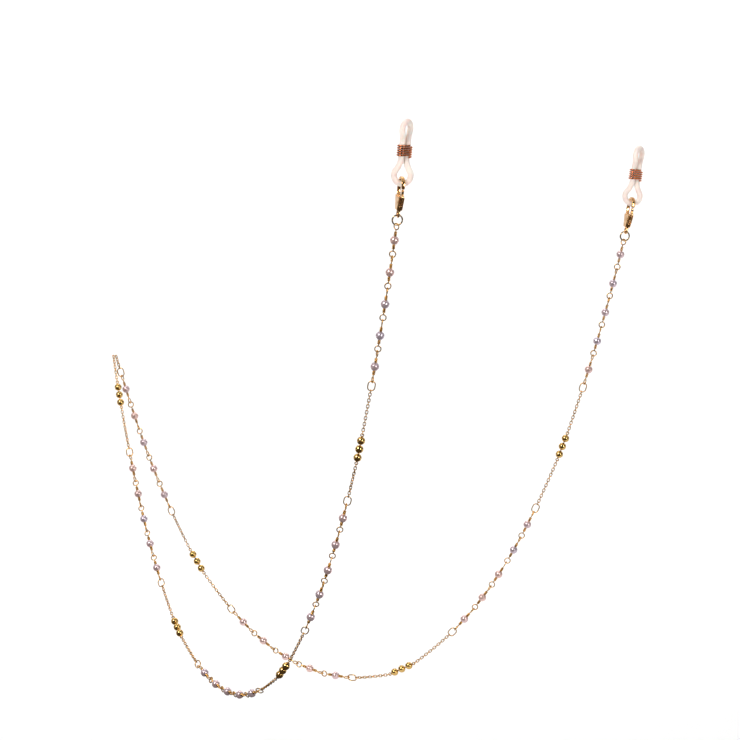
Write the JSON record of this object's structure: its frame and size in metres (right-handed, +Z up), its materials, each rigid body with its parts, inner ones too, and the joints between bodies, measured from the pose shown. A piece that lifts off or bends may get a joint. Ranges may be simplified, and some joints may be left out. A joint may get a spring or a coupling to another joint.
{
  "type": "eyeglass retainer strap",
  "caption": "Eyeglass strap of wire-wrapped pearl links and fine chain with gold bead groups, lobster clasps and silicone temple loops, stored hanging.",
  "frame": {"origin": "centre of the near silicone loop's temple opening", "axes": "+X from the near temple loop to the far one, +Y back along the temples towards the wearer's neck, +Z up"},
  "size_m": [0.1524, 0.1853, 0.1733],
  "materials": {
    "silicone": "translucent moulded silicone",
    "coil": "copper-coloured plated wire",
    "pearl": "pearlescent coating",
    "gold_beads": "polished gold plating",
    "clasp": "polished rose-gold plating",
    "spring": "spring steel",
    "ring_wire": "polished gold plating",
    "wire": "polished gold plating",
    "chain_wire": "polished gold plating"
  },
  "bodies": {
    "root": {"silicone_loop_near": "silicone", "silicone_loop_far": "silicone", "apex_link": "chain_wire"},
    "near_strand": {"clasp_body_near": "clasp", "lever_pin_near": "clasp", "lever_spring_near": "spring", "oval_links_near": "chain_wire", "bead_cores_near": "chain_wire", "cable_chain_1a": "chain_wire", "cable_chain_1b": "chain_wire", "cable_chain_2a": "chain_wire", "cable_chain_2b": "chain_wire", "cable_chain_3a": "chain_wire", "cable_chain_3b": "chain_wire", "cable_chain_4a": "chain_wire", "cable_chain_4b": "chain_wire"},
    "grip_coil_near": {"grip_coil_near": "coil"},
    "clasp_lever_near": {"clasp_lever_near": "clasp"},
    "jump_ring_near": {"jump_ring_near": "ring_wire"},
    "pearl_run_1": {"pearl_wires_1": "wire", "pearls_1": "pearl"},
    "pearl_run_2": {"pearl_wires_2": "wire", "pearls_2": "pearl"},
    "pearl_run_3": {"pearl_wires_3": "wire", "pearls_3": "pearl"},
    "pearl_run_4": {"pearl_wires_4": "wire", "pearls_4": "pearl"},
    "gold_beads_1": {"gold_beads_1": "gold_beads"},
    "gold_beads_2": {"gold_beads_2": "gold_beads"},
    "gold_beads_3": {"gold_beads_3": "gold_beads"},
    "gold_beads_4": {"gold_beads_4": "gold_beads"},
    "far_strand": {"clasp_body_far": "clasp", "lever_pin_far": "clasp", "lever_spring_far": "spring", "oval_links_far": "chain_wire", "bead_cores_far": "chain_wire", "cable_chain_4c": "chain_wire", "cable_chain_5a": "chain_wire", "cable_chain_5b": "chain_wire", "cable_chain_6a": "chain_wire", "cable_chain_6b": "chain_wire", "cable_chain_7a": "chain_wire", "cable_chain_7b": "chain_wire"},
    "grip_coil_far": {"grip_coil_far": "coil"},
    "clasp_lever_far": {"clasp_lever_far": "clasp"},
    "jump_ring_far": {"jump_ring_far": "ring_wire"},
    "pearl_run_8": {"pearl_wires_8": "wire", "pearls_8": "pearl"},
    "pearl_run_7": {"pearl_wires_7": "wire", "pearls_7": "pearl"},
    "pearl_run_6": {"pearl_wires_6": "wire", "pearls_6": "pearl"},
    "pearl_run_5": {"pearl_wires_5": "wire", "pearls_5": "pearl"},
    "gold_beads_7": {"gold_beads_7": "gold_beads"},
    "gold_beads_6": {"gold_beads_6": "gold_beads"},
    "gold_beads_5": {"gold_beads_5": "gold_beads"}
  },
  "joints": [
    {"name": "near_strand_swing", "type": "hinge", "parent": "root", "child": "near_strand", "pos_m": [0.00163, 0.00239, -0.01411], "axis": [0.549, 0.8041, -0.2283], "range_deg": [-4, 25]},
    {"name": "grip_coil_near_slide", "type": "slide", "parent": "root", "child": "grip_coil_near", "axis": [-0.1135, -0.1662, 0.9795], "range_m": [-0.0002, 0.0007]},
    {"name": "clasp_lever_near_open", "type": "hinge", "parent": "near_strand", "child": "clasp_lever_near", "pos_m": [0.00156, 0.00273, -0.01998], "axis": [-0.7017, 0.7108, 0.0489], "range_deg": [0, 22], "stiffness_Nm_per_rad": 0.0005, "springref_deg": -20.05},
    {"name": "jump_ring_near_spin", "type": "hinge", "parent": "near_strand", "child": "jump_ring_near", "pos_m": [0.00323, 0.00473, -0.02494], "axis": [0.6952, 0.6584, 0.2885], "continuous": true},
    {"name": "pearl_run_1_roll", "type": "hinge", "parent": "near_strand", "child": "pearl_run_1", "pos_m": [0.00343, 0.00502, -0.02609], "axis": [0.1904, 0.2789, -0.9413], "range_deg": [-14, 20]},
    {"name": "pearl_run_2_roll", "type": "hinge", "parent": "near_strand", "child": "pearl_run_2", "pos_m": [0.02201, 0.03224, -0.10582], "axis": [0.3355, 0.4914, -0.8037], "range_deg": [-20, 20]},
    {"name": "pearl_run_3_roll", "type": "hinge", "parent": "near_strand", "child": "pearl_run_3", "pos_m": [0.05761, 0.08438, -0.16567], "axis": [0.5622, 0.8234, 0.0768], "range_deg": [-20, 20]},
    {"name": "pearl_run_4_roll", "type": "hinge", "parent": "near_strand", "child": "pearl_run_4", "pos_m": [0.10171, 0.14898, -0.13711], "axis": [0.3121, 0.4571, 0.8328], "range_deg": [-20, 20]},
    {"name": "gold_beads_1_spin", "type": "hinge", "parent": "near_strand", "child": "gold_beads_1", "pos_m": [0.01717, 0.02515, -0.08962], "axis": [0.2447, 0.3584, -0.9009], "continuous": true},
    {"name": "gold_beads_2_spin", "type": "hinge", "parent": "near_strand", "child": "gold_beads_2", "pos_m": [0.04724, 0.06919, -0.15758], "axis": [0.4753, 0.6961, -0.5381], "continuous": true},
    {"name": "gold_beads_3_spin", "type": "hinge", "parent": "near_strand", "child": "gold_beads_3", "pos_m": [0.09365, 0.13718, -0.1513], "axis": [0.439, 0.643, 0.6275], "continuous": true},
    {"name": "gold_beads_4_spin", "type": "hinge", "parent": "near_strand", "child": "gold_beads_4", "pos_m": [0.1218, 0.1784, -0.07826], "axis": [0.2284, 0.3345, 0.9143], "continuous": true},
    {"name": "far_strand_swing", "type": "hinge", "parent": "root", "child": "far_strand", "pos_m": [0.14654, 0.00226, -0.01607], "axis": [-0.1094, 0.9588, -0.262], "range_deg": [-25, 2]},
    {"name": "grip_coil_far_slide", "type": "slide", "parent": "root", "child": "grip_coil_far", "axis": [0.0179, -0.1571, 0.9874], "range_m": [0, 0.0009]},
    {"name": "clasp_lever_far_open", "type": "hinge", "parent": "far_strand", "child": "clasp_lever_far", "pos_m": [0.14552, 0.00253, -0.02186], "axis": [-0.7002, 0.6967, 0.1559], "range_deg": [0, 22], "stiffness_Nm_per_rad": 0.0005, "springref_deg": -20.05},
    {"name": "jump_ring_far_spin", "type": "hinge", "parent": "far_strand", "child": "jump_ring_far", "pos_m": [0.14628, 0.00452, -0.02704], "axis": [0.7167, 0.6816, 0.1474], "continuous": true},
    {"name": "pearl_run_8_roll", "type": "hinge", "parent": "far_strand", "child": "pearl_run_8", "pos_m": [0.14625, 0.0048, -0.0282], "axis": [-0.0318, 0.2787, -0.9599], "range_deg": [-14, 20]},
    {"name": "pearl_run_7_roll", "type": "hinge", "parent": "far_strand", "child": "pearl_run_7", "pos_m": [0.14284, 0.03467, -0.11393], "axis": [-0.0653, 0.5723, -0.8175], "range_deg": [-20, 20]},
    {"name": "pearl_run_6_roll", "type": "hinge", "parent": "far_strand", "child": "pearl_run_6", "pos_m": [0.13557, 0.09839, -0.16918], "axis": [-0.1022, 0.8952, 0.4338], "range_deg": [-20, 20]},
    {"name": "pearl_run_5_roll", "type": "hinge", "parent": "far_strand", "child": "pearl_run_5", "pos_m": [0.12824, 0.16267, -0.11554], "axis": [-0.043, 0.3766, 0.9254], "range_deg": [-20, 20]},
    {"name": "gold_beads_7_spin", "type": "hinge", "parent": "far_strand", "child": "gold_beads_7", "pos_m": [0.14393, 0.02513, -0.0931], "axis": [-0.0427, 0.3742, -0.9264], "continuous": true},
    {"name": "gold_beads_6_spin", "type": "hinge", "parent": "far_strand", "child": "gold_beads_6", "pos_m": [0.1377, 0.07979, -0.16557], "axis": [-0.1033, 0.9049, -0.4129], "continuous": true},
    {"name": "gold_beads_5_spin", "type": "hinge", "parent": "far_strand", "child": "gold_beads_5", "pos_m": [0.12937, 0.15272, -0.13304], "axis": [-0.063, 0.5524, 0.8312], "continuous": true}
  ]
}
